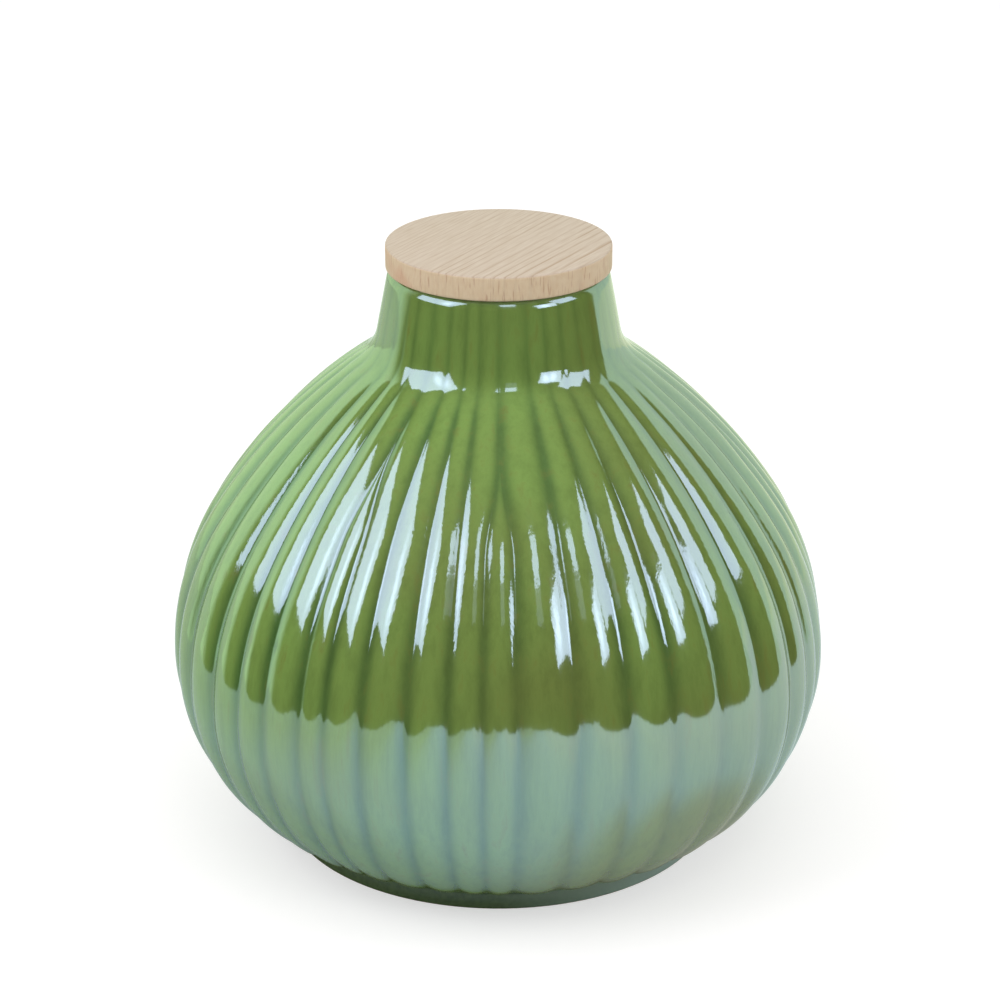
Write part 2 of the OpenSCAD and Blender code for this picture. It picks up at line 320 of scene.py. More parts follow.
# %% [markdown]
# Such a jar is cast in a plaster mould and has one outline all round. It is a chain of arcs that touch
# each other: lower belly, upper belly, shoulder, the hollow at the neck's root and the lip. The outline
# could be drawn as a free curve, but arcs need only a radius and a centre each and meet smoothly by
# construction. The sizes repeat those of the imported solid, in millimetres and degrees, and the arcs'
# centres follow from them.

# %% Sizes of the jar
BELLY_R, BELLY_Z = 80.5, 47.3
LOWER_R, UPPER_R, SHOULDER_R = 50.2, 67.6, 136.0
UPPER_SWEEP = 32.8
WALL, FLOOR_T = 4.2, 5.0
NECK_R, NECK_H, NECK_TAPER, NECK_WALL = 26.8, 20.4, 11.0, 5.3
ROOT_R, LIP_R, LIP_END = 11.0, 3.5, 65.0
FOOT_R, FOOT_H = 53.75, 5.4


def turned(angle):
    """Unit vector at an angle in degrees."""
    return Vector((math.cos(math.radians(angle)), math.sin(math.radians(angle))))


LOWER_C = Vector((BELLY_R - LOWER_R, BELLY_Z))
UPPER_C = Vector((BELLY_R - UPPER_R, BELLY_Z))
SHOULDER_C = UPPER_C + (UPPER_R - SHOULDER_R) * turned(UPPER_SWEEP)
SHOULDER_Z = BELLY_Z + UPPER_R * turned(UPPER_SWEEP).y
LOWER_START = math.degrees(math.asin((FOOT_H - BELLY_Z) / LOWER_R))
root_at = NECK_R + NECK_H * math.tan(math.radians(NECK_TAPER))
ROOT_Z = SHOULDER_C.y + math.sqrt(SHOULDER_R ** 2 - (root_at - SHOULDER_C.x) ** 2)
RIM_Z = ROOT_Z + NECK_H
BORE_R = NECK_R - NECK_WALL

# %% [markdown]
# At the neck's root a small hollow arc has to touch both the shoulder and the tapered side of the neck. A
# bevel would find such an arc by itself, but only along a modelled edge. Here it is worked out: its
# centre lies one root radius off the neck's side and one root radius outside the shoulder, which is where
# a line cuts a circle.

# %% Root and lip of the neck
neck_out, neck_up = turned(NECK_TAPER), turned(NECK_TAPER + 90)
neck_end = Vector((NECK_R, RIM_Z - LIP_R * (turned(LIP_END).y - neck_out.y)))
LIP_C = neck_end - LIP_R * neck_out
to_root = neck_end + ROOT_R * neck_out - SHOULDER_C
along = to_root.dot(neck_up)
down = along - math.sqrt(along ** 2 - to_root.length_squared + (SHOULDER_R + ROOT_R) ** 2)
ROOT_C = SHOULDER_C + to_root - down * neck_up
SHOULDER_END = math.degrees(math.atan2(ROOT_C.y - SHOULDER_C.y, ROOT_C.x - SHOULDER_C.x))
print("the shoulder ends at", round(SHOULDER_END, 1), "degrees")

# %% [markdown]
# The jar stands on a plain foot ring round a shallow recess, which the potter wipes clean before firing.
# Clay and glaze leave no sharp edge anywhere, so every corner of the section is rounded by a short curve.
# A Bevel modifier could do that on the finished mesh, but on the section it costs only a few points.

# %% Section under the foot
FOOT_RING_W, FOOT_RECESS, FOOT_BEVEL = 7.0, 2.6, 0.7
TUCK_DROP, TUCK_ROUND = 0.6, 0.9
RECESS_ROUND, RING_ROUND = 0.8, 0.5
RECESS_RING = 0.6


def rounded(before, corner, after, size, steps=4):
    """Points that round a corner of the section, starting and ending the given size away from it."""
    a = corner + size * (before - corner).normalized()
    b = corner + size * (after - corner).normalized()
    shares = [i / steps for i in range(steps + 1)]
    return [a * (1 - t) ** 2 + corner * 2 * t * (1 - t) + b * t * t for t in shares]


ring_in = FOOT_R - FOOT_RING_W
recess, ring_edge, foot_edge = Vector((ring_in, FOOT_RECESS)), Vector((ring_in, 0)), Vector((FOOT_R, 0))
tuck = Vector((FOOT_R, FOOT_H - TUCK_DROP))
rib_start = LOWER_C + LOWER_R * turned(LOWER_START)
under = [Vector((0, FOOT_RECESS)), Vector((ring_in * RECESS_RING, FOOT_RECESS))]
under += rounded(under[-1], recess, ring_edge, RECESS_ROUND)
under += rounded(recess, ring_edge, foot_edge, RING_ROUND)
under += rounded(ring_edge, foot_edge, tuck, FOOT_BEVEL)
under += rounded(foot_edge, tuck, rib_start, TUCK_ROUND)
print("under the foot:", len(under), "points")

# %% [markdown]
# Up the outside the arcs follow each other from the rolled rib ends to the lip. The number of steps on
# each arc could be the same, but the rows lie closer where the surface turns fast, because that is where
# mirrored light shows a facet first.

# %% Section of the outside
RIB_ROLL, ROLL_CLEAR = 7.0, 0.5
LIP_STOP = 15


def arc(centre, radius, start, end, steps):
    """Points of an arc in the section, from one angle to another in degrees."""
    return [centre + radius * turned(start + (end - start) * i / steps) for i in range(steps + 1)]


roll = LOWER_START + math.degrees(RIB_ROLL / LOWER_R)
rolled = rounded(tuck, rib_start, LOWER_C + LOWER_R * turned(roll), RIB_ROLL, 12)[:-1]
# The first points of the roll lie behind the foot's side and would fold the surface, so they are left out.
out = [p for p in rolled if p.x > FOOT_R + ROLL_CLEAR]
out += arc(LOWER_C, LOWER_R, roll, 0, 36)
out += arc(UPPER_C, UPPER_R, 0, UPPER_SWEEP, 22)[1:]
out += arc(SHOULDER_C, SHOULDER_R, UPPER_SWEEP, SHOULDER_END, 30)[1:]
out += arc(ROOT_C, ROOT_R, SHOULDER_END + 180, NECK_TAPER + 180, 8)[1:]
neck_low = out[-1]
out += [neck_low.lerp(neck_end, i / 7) for i in range(1, 7)]
out += arc(LIP_C, LIP_R, NECK_TAPER, LIP_END - LIP_STOP, 7)
print("outside:", len(out), "points")

# %% [markdown]
# Inside, the jar is smooth: the wall follows the outer arcs at an even distance below the grooves, up to
# a straight bore that holds the lid's ring. A Solidify modifier could give such a wall, but it would
# press every rib through to the inside. So the section simply goes on over the rim and down to the floor.

# %% Section of the inside
RIB_RHYTHM = [8, 7, 8, 5, 7, 8, 7, 6, 6, 10, 9, 8.5, 10, 10, 10.5]
RIB_RUNS, RIB_RISE = 3, 0.105
RIM_ROUND, MOUTH_ROUND, SHOULDER_ROUND, FLOOR_ROUND = 0.7, 0.8, 2, 4
SHOULDER_STOP, FLOOR_STOP = 3, 8

RIB_UNIT = 360 / RIB_RUNS / sum(RIB_RHYTHM)
GROOVE = RIB_RISE * math.radians(max(RIB_RHYTHM) * RIB_UNIT)
in_lower, in_upper, in_shoulder = (r - GROOVE * BELLY_R - WALL for r in (LOWER_R, UPPER_R, SHOULDER_R))
rim_out, rim_in = LIP_C + LIP_R * turned(LIP_END), Vector((BORE_R, RIM_Z))
mouth_turn = math.degrees(math.acos((BORE_R - SHOULDER_C.x) / in_shoulder))
mouth = SHOULDER_C + in_shoulder * turned(mouth_turn)
below_mouth = mouth_turn - SHOULDER_STOP
floor_z = FOOT_RECESS + FLOOR_T
floor_turn = math.degrees(math.asin((floor_z - BELLY_Z) / in_lower))
floor_end = LOWER_C + in_lower * turned(floor_turn)

inside = rounded(out[-1], rim_out, rim_in, RIM_ROUND)
inside += rounded(rim_out, rim_in, mouth, MOUTH_ROUND)
inside += [rim_in.lerp(mouth, i / 4) for i in (1, 2, 3)]
inside += rounded(rim_in, mouth, SHOULDER_C + in_shoulder * turned(below_mouth), SHOULDER_ROUND)
inside += arc(SHOULDER_C, in_shoulder, below_mouth, UPPER_SWEEP, 9)
inside += arc(UPPER_C, in_upper, UPPER_SWEEP, 0, 7)[1:]
inside += arc(LOWER_C, in_lower, 0, floor_turn + FLOOR_STOP, 10)[1:]
inside += rounded(inside[-1], floor_end, Vector((0, floor_z)), FLOOR_ROUND)
inside += [Vector((floor_end.x * share, floor_z)) for share in (0.6, 0.25, 0)]
section = under + out + inside
print("section:", len(section), "points; grooves", round(GROOVE * BELLY_R, 2), "mm deep at the belly")

# %% [markdown]
# The ribs aren't equally strong along the outline. They begin softly above the foot, are fullest on the
# shoulder, and nearly flatten on the neck, and the short ribs close below it. Vertex groups painted by
# hand could hold such shares. Here each point of the section gets them from its own height and radius, so
# they follow any change of size.

# %% Shares along the section
SHORT_END, SHORT_RUN = 11.0, 18.0
FOOT_SHARE, NECK_SHARE = 0.5, 0.1
FADE_BELOW, FADE_ABOVE = 8.0, 1.0
SHARE_NAMES = ("ribs", "close", "hand", "lobe", "foot")
RIB_FULL = rib_start.x + 0.5
LOBE_TOP, HAND_STOP = FOOT_H + 9, RIM_Z - 1.2
OUTSIDE_FROM = len(under) - 3


def ease(x, low, high):
    """Smooth step from 0 to 1."""
    t = min(1.0, max(0.0, (x - low) / (high - low)))
    return t * t * (3 - 2 * t)


def section_shares(i, p):
    """How strongly ribs, closing short ribs, hand shaping, lobe ends and the foot band show at a point."""
    outside = OUTSIDE_FROM <= i < len(under) + len(out)
    low = p.y < BELLY_Z
    ribs = FOOT_SHARE + (1 - FOOT_SHARE) * ease(p.y, FOOT_H, SHOULDER_Z)
    ribs *= ease(p.x, FOOT_R, RIB_FULL) if low else 1.0
    ribs *= 1 - (1 - NECK_SHARE) * ease(p.y, ROOT_Z - FADE_BELOW, ROOT_Z + FADE_ABOVE)
    ribs *= 1 - ease(p.y, ROOT_Z + FADE_ABOVE, RIM_Z)
    close = ease(p.y, ROOT_Z - SHORT_END - SHORT_RUN, ROOT_Z - SHORT_END)
    hand = ease(p.x, FOOT_R, RIB_FULL) if low else 1 - ease(p.y, HAND_STOP, RIM_Z)
    lobe = ease(p.x, FOOT_R, rib_start.x) * (1 - ease(p.y, FOOT_H, LOBE_TOP)) if low else 0.0
    foot = 1.0 if i < len(under) else 0.0
    return [share if outside else 0.0 for share in (ribs, close, hand, lobe)] + [foot]


def point_mesh(name, points, columns):
    """Loose points with one named number per point for each column."""
    mesh = bpy.data.meshes.new(name)
    mesh.from_pydata(points, [], [])
    for column, values in columns.items():
        mesh.attributes.new(column, "FLOAT", "POINT").data.foreach_set("value", values)
    return show(name, mesh)


shares = [section_shares(i, p) for i, p in enumerate(section)]
columns = {name: [share[k] for share in shares] for k, name in enumerate(SHARE_NAMES)}
outline = point_mesh("jar_section", [(p.x * MM, 0, p.y * MM) for p in section], columns)
print("strongest ribs:", round(max(columns["ribs"]), 2), "of their full rise")

# %% [markdown]
# Such ribs are cut by hand into the model for the mould, so their widths are uneven. One width for all
# would be simpler, but it would look machined. So a short rhythm of widths, chosen after the seen side,
# runs three times round the jar. What a short rib loses on its way up goes to its two neighbours, which
# is how the real ribs fork. A second small mesh holds one point per rib, with the angle where it starts
# and its width, at the belly and at the neck.

# %% Rhythm of the ribs
SHORT_RIBS, SHORT_KEEP = [3, 8], 0.06
RIB_TURN = -58.7
SEEN_SIDE = -90


def rib_table():
    """Start and width of each rib in radians, at the belly and at the neck."""
    n = len(RIB_RHYTHM)
    lost = [RIB_RHYTHM[i] * (1 - SHORT_KEEP) if i in SHORT_RIBS else 0.0 for i in range(n)]
    upper = [RIB_RHYTHM[i] - lost[i] + (lost[i - 1] + lost[(i + 1) % n]) / 2 for i in range(n)]
    made = {"start": [], "width": [], "start_top": [], "width_top": []}
    for run in range(RIB_RUNS):
        for label, widths in (("", RIB_RHYTHM), ("_top", upper)):
            at = RIB_TURN + SEEN_SIDE + run * 360 / RIB_RUNS
            for w in widths:
                made["start" + label].append(math.radians(at))
                made["width" + label].append(math.radians(w * RIB_UNIT))
                at += w * RIB_UNIT
    return made


ribs = rib_table()
rhythm = point_mesh("rib_rhythm", [(0, 0, 0)] * len(ribs["start"]), ribs)
print(len(ribs["start"]), "ribs, from", round(min(RIB_RHYTHM) * RIB_UNIT, 1), "degrees wide to",
      round(max(RIB_RHYTHM) * RIB_UNIT, 1))

# %% [markdown]
# A rule makes the vessel: every rib is the same strip, bent to the section and arched between two
# grooves. An array of equal ribs would be quicker, but it could neither vary their widths nor let them
# fork. So a Geometry Nodes tree does it, and its named inputs are the sizes that a maker would want to
# change.

# %% Inputs of the ribbed jar
JAR_INPUTS = {
    "Rhythm": "Geometry", "Section": "Object", "Rows": "Int", "Steps": "Int", "Rise": "Float",
    "Groove": "Float", "Flatness": "Float", "Softness": "Float", "Lobe": "Float", "Unevenness": "Float",
    "Wander": "Float", "Seed": "Float", "Finish": "Material", "Foot finish": "Material"}

jar_tree = bpy.data.node_groups.new("ribbed_jar", "GeometryNodeTree")
for name, kind in JAR_INPUTS.items():
    jar_tree.interface.new_socket(name, in_out="INPUT", socket_type="NodeSocket" + kind)
jar_tree.interface.new_socket("Jar", in_out="OUTPUT", socket_type="NodeSocketGeometry")
given = add(jar_tree, "NodeGroupInput")
print("the tree asks for:", ", ".join(JAR_INPUTS))

# %% [markdown]
# Each rib starts as a flat strip with one row per point of the section and a few columns across. The
# strip's points remember their row and their share of the way across before it is copied to every point
# of the rhythm. The copies are made real at once, because only real points can be moved one by one.

# %% One flat strip per rib
POINT_NUMBER = {"data_type": "FLOAT", "domain": "POINT"}

corners = add(jar_tree, "Math", {0: given["Steps"], 1: 1.0}, operation="ADD")
grid = add(jar_tree, "GeometryNodeMeshGrid", {
    "Size X": 1.0, "Size Y": 1.0, "Vertices X": corners[0], "Vertices Y": given["Rows"]})
flat = add(jar_tree, "SeparateXYZ", {0: add(jar_tree, "GeometryNodeInputPosition")[0]})
last = add(jar_tree, "Math", {0: given["Rows"], 1: 1.0}, operation="SUBTRACT")
upward = add(jar_tree, "Math", {0: flat["Y"], 1: 0.5}, operation="ADD")
row = add(jar_tree, "Math", {0: upward[0], 1: last[0]}, operation="MULTIPLY")
row = add(jar_tree, "Math", {0: row[0]}, operation="ROUND")
across = add(jar_tree, "Math", {0: flat["X"], 1: 0.5}, operation="ADD")
strip = grid["Mesh"]
for name, number in (("row", row[0]), ("across", across[0])):
    strip = add(jar_tree, "GeometryNodeStoreNamedAttribute", {
        "Geometry": strip, "Name": name, "Value": number}, **POINT_NUMBER)[0]
strips = add(jar_tree, "GeometryNodeInstanceOnPoints", {"Points": given["Rhythm"], "Instance": strip})
strips = add(jar_tree, "GeometryNodeRealizeInstances", {"Geometry": strips[0]})
print("strips:", len(jar_tree.nodes), "nodes so far")

# %% [markdown]
# Now every point looks up what it needs: its rib's start and width come along from the rhythm, and its
# height, radius and shares are read from the section at its own row. They could be worked out again
# inside the tree, but a table that is read keeps the outline in one place.

# %% What each point knows
told = {}
for name in ("row", "across", *ribs, *SHARE_NAMES):
    number = add(jar_tree, "GeometryNodeInputNamedAttribute", {"Name": name}, data_type="FLOAT")
    told[name] = number["Attribute"]
source = add(jar_tree, "GeometryNodeObjectInfo", {"Object": given["Section"]})["Geometry"]
here = add(jar_tree, "GeometryNodeSampleIndex", {
    "Geometry": source, "Value": add(jar_tree, "GeometryNodeInputPosition")[0], "Index": told["row"]},
    data_type="FLOAT_VECTOR")
here = add(jar_tree, "SeparateXYZ", {0: here[0]})
at = {}
for name in SHARE_NAMES:
    at[name] = add(jar_tree, "GeometryNodeSampleIndex", {
        "Geometry": source, "Value": told[name], "Index": told["row"]}, data_type="FLOAT")[0]
print("each point knows:", ", ".join(told))

# %% [markdown]
# Across, a rib is a low arch between two narrow grooves. A half circle would stand too proud, so the arch
# is a parabola with a slightly flattened crest, and glaze softens its feet where they run into the
# grooves. The columns bunch towards the grooves, where the surface turns fastest.

# %% Arch of a rib
BUNCHING = -0.05

wave = add(jar_tree, "Math", {0: told["across"], 1: 2 * math.pi}, operation="MULTIPLY")
wave = add(jar_tree, "Math", {0: wave[0]}, operation="SINE")
bunch = add(jar_tree, "Math", {0: wave[0], 1: BUNCHING, 2: told["across"]}, operation="MULTIPLY_ADD")
first = add(jar_tree, "Mix", {0: at["close"], 2: told["start"], 3: told["start_top"]})
wide = add(jar_tree, "Mix", {0: at["close"], 2: told["width"], 3: told["width_top"]})
turn = add(jar_tree, "Math", {0: wide[0], 1: bunch[0], 2: first[0]}, operation="MULTIPLY_ADD")
from_crest = add(jar_tree, "Math", {0: bunch[0], 1: 2.0, 2: -1.0}, operation="MULTIPLY_ADD")
square = add(jar_tree, "Math", {0: from_crest[0], 1: from_crest[0]}, operation="MULTIPLY")
fall = add(jar_tree, "Mix", {0: given["Flatness"], 2: 1.0, 3: square[0]})
fall = add(jar_tree, "Math", {0: fall[0], 1: square[0]}, operation="MULTIPLY")
bow = add(jar_tree, "Math", {0: 1.0, 1: fall[0]}, operation="SUBTRACT")
# The feet are softened by sqrt(bow^2 + softness^2) - softness, brought back to a full height of 1.
soft2 = add(jar_tree, "Math", {0: given["Softness"], 1: 2.0}, operation="POWER")
arch = add(jar_tree, "Math", {0: bow[0], 1: bow[0], 2: soft2[0]}, operation="MULTIPLY_ADD")
arch = add(jar_tree, "Math", {0: arch[0]}, operation="SQRT")
arch = add(jar_tree, "Math", {0: arch[0], 1: given["Softness"]}, operation="SUBTRACT")
full = add(jar_tree, "Math", {0: soft2[0], 1: 1.0}, operation="ADD")
full = add(jar_tree, "Math", {0: full[0]}, operation="SQRT")
full = add(jar_tree, "Math", {0: full[0], 1: given["Softness"]}, operation="SUBTRACT")
arch = add(jar_tree, "Math", {0: arch[0], 1: full[0]}, operation="DIVIDE")
print("arch:", len(jar_tree.nodes), "nodes so far")

# %% [markdown]
# The section runs over the crests of the widest ribs. So the tree works downwards: every point sinks by
# the groove's depth less what its own arch lifts, times the share that the ribs have at its row. Narrow
# ribs then stay lower than wide ones, as they do on the real jar.

# %% Sink the grooves
lift = add(jar_tree, "Math", {0: arch[0], 1: wide[0]}, operation="MULTIPLY")
lift = add(jar_tree, "Math", {0: lift[0], 1: given["Rise"]}, operation="MULTIPLY")
sunk = add(jar_tree, "Math", {0: given["Groove"], 1: lift[0]}, operation="SUBTRACT")
sunk = add(jar_tree, "Math", {0: sunk[0], 1: at["ribs"]}, operation="MULTIPLY")
keep = add(jar_tree, "Math", {0: 1.0, 1: sunk[0]}, operation="SUBTRACT")
radius = add(jar_tree, "Math", {0: here["X"], 1: keep[0]}, operation="MULTIPLY")
print("grooves:", len(jar_tree.nodes), "nodes so far")

# %% [markdown]
# Grooves that were cut by hand wander a little sideways, and the surface between them is never quite
# even. Sculpting could do this, but slow noise with a fixed seed gives the same jar on every run. It
# mostly presses inwards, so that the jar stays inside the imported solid's outline.

# %% Hand shaping
DRIFT_SCALE, DRIFT_DETAIL = 6.0, 1.0
DENTS_PER_METRE, DENT_DETAIL = 45.0, 2.0
DENT_LEVEL = 0.85

cosine = add(jar_tree, "Math", {0: turn[0]}, operation="COSINE")
sine = add(jar_tree, "Math", {0: turn[0]}, operation="SINE")
near = add(jar_tree, "CombineXYZ", {0: cosine[0], 1: sine[0], 2: here["Z"]})
drift = add(jar_tree, "TexNoise", {
    "Vector": near[0], "W": given["Seed"], "Scale": DRIFT_SCALE, "Detail": DRIFT_DETAIL},
    noise_dimensions="4D")
drift = add(jar_tree, "Math", {0: drift[0], 1: 0.5}, operation="SUBTRACT")
drift = add(jar_tree, "Math", {0: drift[0], 1: given["Wander"]}, operation="MULTIPLY")
turn = add(jar_tree, "Math", {0: drift[0], 1: at["ribs"], 2: turn[0]}, operation="MULTIPLY_ADD")
cosine = add(jar_tree, "Math", {0: turn[0]}, operation="COSINE")
sine = add(jar_tree, "Math", {0: turn[0]}, operation="SINE")
outward = add(jar_tree, "CombineXYZ", {0: cosine[0], 1: sine[0], 2: 0.0})
spot = add(jar_tree, "VectorMath", {0: outward[0], 3: here["X"]}, operation="SCALE")
level = add(jar_tree, "CombineXYZ", {2: here["Z"]})
spot = add(jar_tree, "VectorMath", {0: spot[0], 1: level[0]}, operation="ADD")
dent = add(jar_tree, "TexNoise", {
    "Vector": spot[0], "W": given["Seed"], "Scale": DENTS_PER_METRE, "Detail": DENT_DETAIL},
    noise_dimensions="4D")
dent = add(jar_tree, "Math", {0: dent[0], 1: DENT_LEVEL}, operation="SUBTRACT")
dent = add(jar_tree, "Math", {0: dent[0], 1: given["Unevenness"]}, operation="MULTIPLY")
radius = add(jar_tree, "Math", {0: dent[0], 1: at["hand"], 2: radius[0]}, operation="MULTIPLY_ADD")
print("hand shaping:", len(jar_tree.nodes), "nodes so far")

# %% [markdown]
# Above the foot each rib ends in a rounded lobe, because its end lies a little higher beside the crest.
# The glaze will need to know where it is thin, so every point also keeps a number: 1 on a broad crest, 0
# in a groove and something between on narrow ribs and on the nearly smooth neck.

# %% Rib ends and crests
BROAD_RIB = 0.09
NECK_CREST, PLAIN_CREST = 0.3, 0.7

flank = add(jar_tree, "Math", {0: 1.0, 1: arch[0]}, operation="SUBTRACT")
flank = add(jar_tree, "Math", {0: flank[0], 1: at["lobe"]}, operation="MULTIPLY")
height = add(jar_tree, "Math", {0: flank[0], 1: given["Lobe"], 2: here["Z"]}, operation="MULTIPLY_ADD")
level = add(jar_tree, "CombineXYZ", {2: height[0]})
place = add(jar_tree, "VectorMath", {0: outward[0], 3: radius[0]}, operation="SCALE")
place = add(jar_tree, "VectorMath", {0: place[0], 1: level[0]}, operation="ADD")
broad = add(jar_tree, "Math", {0: wide[0], 1: BROAD_RIB}, operation="DIVIDE")
broad = add(jar_tree, "Math", {0: broad[0], 1: 1.0}, operation="MINIMUM")
crest = add(jar_tree, "Math", {0: arch[0], 1: broad[0]}, operation="MULTIPLY")
strong = add(jar_tree, "Mix", {0: at["ribs"], 2: NECK_CREST, 3: 1.0})
strong = add(jar_tree, "Math", {0: strong[0], 1: at["hand"]}, operation="MULTIPLY")
crest = add(jar_tree, "Mix", {0: strong[0], 2: PLAIN_CREST, 3: crest[0]})
kept = strips[0]
for name, number in (("crest", crest[0]), ("at_foot", at["foot"])):
    kept = add(jar_tree, "GeometryNodeStoreNamedAttribute", {
        "Geometry": kept, "Name": name, "Value": number}, **POINT_NUMBER)[0]
print("rib ends:", len(jar_tree.nodes), "nodes so far")

# %% [markdown]
# Moving every point to its place turns the strips into a vessel. Neighbouring strips share their edges
# and all of them meet at the axis, so merging points that lie together closes it. The vessel gets the
# glaze, and the band below the ribs gets the finish of the wiped foot.

# %% Close the vessel
MERGE_WITHIN = 0.002 * MM
FOOT_BAND = 0.99

vessel = add(jar_tree, "GeometryNodeSetPosition", {"Geometry": kept, "Position": place[0]})
vessel = add(jar_tree, "GeometryNodeMergeByDistance", {"Geometry": vessel[0], "Distance": MERGE_WITHIN})
vessel = add(jar_tree, "GeometryNodeSetShadeSmooth", {"Geometry": vessel[0]})
low = add(jar_tree, "GeometryNodeInputNamedAttribute", {"Name": "at_foot"}, data_type="FLOAT")["Attribute"]
low = add(jar_tree, "Math", {0: low, 1: FOOT_BAND}, operation="GREATER_THAN")
vessel = add(jar_tree, "GeometryNodeRealizeInstances", {"Geometry": vessel[0]})
vessel = add(jar_tree, "GeometryNodeSetMaterial", {"Geometry": vessel[0], "Material": given["Finish"]})
vessel = add(jar_tree, "GeometryNodeSetMaterial", {
    "Geometry": vessel[0], "Selection": low[0], "Material": given["Foot finish"]})
add(jar_tree, "NodeGroupOutput", {0: vessel[0]})
print("ribbed jar tree:", len(jar_tree.nodes), "nodes")

# %% [markdown]
# The jar has a lustre glaze: green glass that runs down, pools dark in the grooves and thins out on the
# crests, with brown where iron shows through. A very thin film of metal salts on top mirrors far more
# than plain glass, with a blue tint. A clear coat over a green body could show it, but a coat mirrors too
# little, so the high refraction index of such a film is put on the shader itself.

# %% Colour of the glaze
RUN_WIDTH, RUN_STRETCH = 3.0 * MM, 0.12
PATCH_SIZE = 45 * MM
WARM_SLOPE = 2.5
RIB_END_LOW, RIB_END_HIGH = 5.2 * MM, 8.6 * MM


def glaze_colour(tree, spot, streak):
    """Green, dark in grooves, warmer to the right, streaked brown; rib ends of thin glaze and painted
    shade.
    """
    crest = add(tree, "Attribute", attribute_name="crest")["Fac"]
    across = add(tree, "SeparateXYZ", {0: spot})
    patch = add(tree, "TexNoise", {"Vector": spot, "Scale": 1 / PATCH_SIZE, "Detail": 2.0})
    thin = add(tree, "MapRange", {0: crest, 1: -0.1, 2: 0.95}, **SMOOTH)
    body = add(tree, "Mix", {0: thin[0], 6: linear("#4C7238"), 7: linear("#86AA53")}, **COLOUR)
    warm = add(tree, "Math", {0: across["X"], 1: WARM_SLOPE, 2: patch[0]}, operation="MULTIPLY_ADD")
    warm = add(tree, "MapRange", {0: warm[0], 1: 0.3, 2: 0.75, 3: 0.0, 4: 0.75})
    body = add(tree, "Mix", {0: warm[0], 6: body[2], 7: linear("#788542")}, **COLOUR)
    brown = add(tree, "MapRange", {0: streak, 1: 0.55, 2: 0.75, 3: 0.0, 4: 0.55})
    body = add(tree, "Mix", {0: brown[0], 6: body[2], 7: linear("#716F33")}, **COLOUR)
    tone = add(tree, "MapRange", {0: streak, 1: 0.3, 2: 0.7, 3: 0.84, 4: 1.1})
    body = add(tree, "VectorMath", {0: body[2], 3: tone[0]}, operation="SCALE")
    # The rib ends darken to brown towards the foot: partly thin glaze, partly painted shade near the table.
    rib_end_thin_and_shade = add(tree, "MapRange", {0: across["Z"], 1: RIB_END_LOW, 2: RIB_END_HIGH, 3: 0.9, 4: 0.0})
    return add(tree, "Mix", {0: rib_end_thin_and_shade[0], 6: body[0], 7: linear("#4E4026")}, **COLOUR)[2]


print("glaze runs", round(RUN_WIDTH / MM, 1), "mm wide and", round(RUN_WIDTH / RUN_STRETCH / MM), "mm long")

# %% [markdown]
# Molten glaze runs down in fine ripples before it sets, and they tear the edges of the mirrored lamps.
# They could be modelled, but at a few hundredths of a millimetre a bump is enough. On the neck the glaze
# lies smoother, so the bump is weaker there.

# %% Lustre glaze
RIPPLE_WIDTH, RIPPLE_DEPTH, RIPPLE_STRENGTH = 1.1 * MM, 0.06 * MM, 0.45
CALM_FROM, CALM_TO, CALM_SHARE = 95 * MM, 115 * MM, 0.3
LUSTRE_IOR, LUSTRE_TINT = 2.85, "#D0EDFF"


def glaze_material():
    """Lustre glaze on earthenware: gives the eye deep green that mirrors the room in blue-white pearl."""
    made = bpy.data.materials.new("lustre_glaze")
    tree = empty_tree(made)
    spot = add(tree, "TexCoord")["Object"]
    runs = add(tree, "Mapping", {"Vector": spot, "Scale": (1, 1, RUN_STRETCH)})
    streak = add(tree, "TexNoise", {
        "Vector": runs[0], "Scale": 1 / RUN_WIDTH, "Detail": 4.0, "Roughness": 0.7})
    rough = add(tree, "MapRange", {0: streak[0], 1: 0.3, 2: 0.7, 3: 0.06, 4: 0.09})
    up = add(tree, "SeparateXYZ", {0: spot})
    calm = add(tree, "MapRange", {0: up["Z"], 1: CALM_FROM, 2: CALM_TO, 3: 1.0, 4: CALM_SHARE})
    ripple = add(tree, "TexNoise", {"Vector": runs[0], "Scale": 1 / RIPPLE_WIDTH, "Detail": 2.0})
    ripple = add(tree, "Math", {0: ripple[0], 1: calm[0]}, operation="MULTIPLY")
    bump = add(tree, "Bump", {
        "Height": ripple[0], "Strength": RIPPLE_STRENGTH, "Distance": RIPPLE_DEPTH})
    shader = add(tree, "BsdfPrincipled", {
        "Base Color": glaze_colour(tree, spot, streak[0]), "Roughness": rough[0], "IOR": LUSTRE_IOR,
        "Specular Tint": linear(LUSTRE_TINT), "Normal": bump[0]})
    add(tree, "OutputMaterial", {"Surface": shader[0]})
    return made


glaze = glaze_material()
print("glaze nodes:", len(glaze.node_tree.nodes))

# %% [markdown]
# Before firing, the potter wipes the foot, so that the jar doesn't melt to the kiln shelf. A thin wash of
# glaze is left on the band; its dark green is partly painted shade under the overhanging ribs, and it turns
# pale to the right as a painted reflection of the bright table. The ring below is bare pale clay. Two
# materials with a border between faces would give a hard line, so one material changes over at half a
# millimetre, torn by the clay's grit.

# %% Wiped foot
GRIT_SIZE, GRIT_DEPTH = 1.2 * MM, 0.08 * MM
WIPE_TEAR, WIPE_LOW, WIPE_HIGH = 0.5 * MM, 0.45 * MM, 0.55 * MM
REFLECTION_REACH = 45 * MM


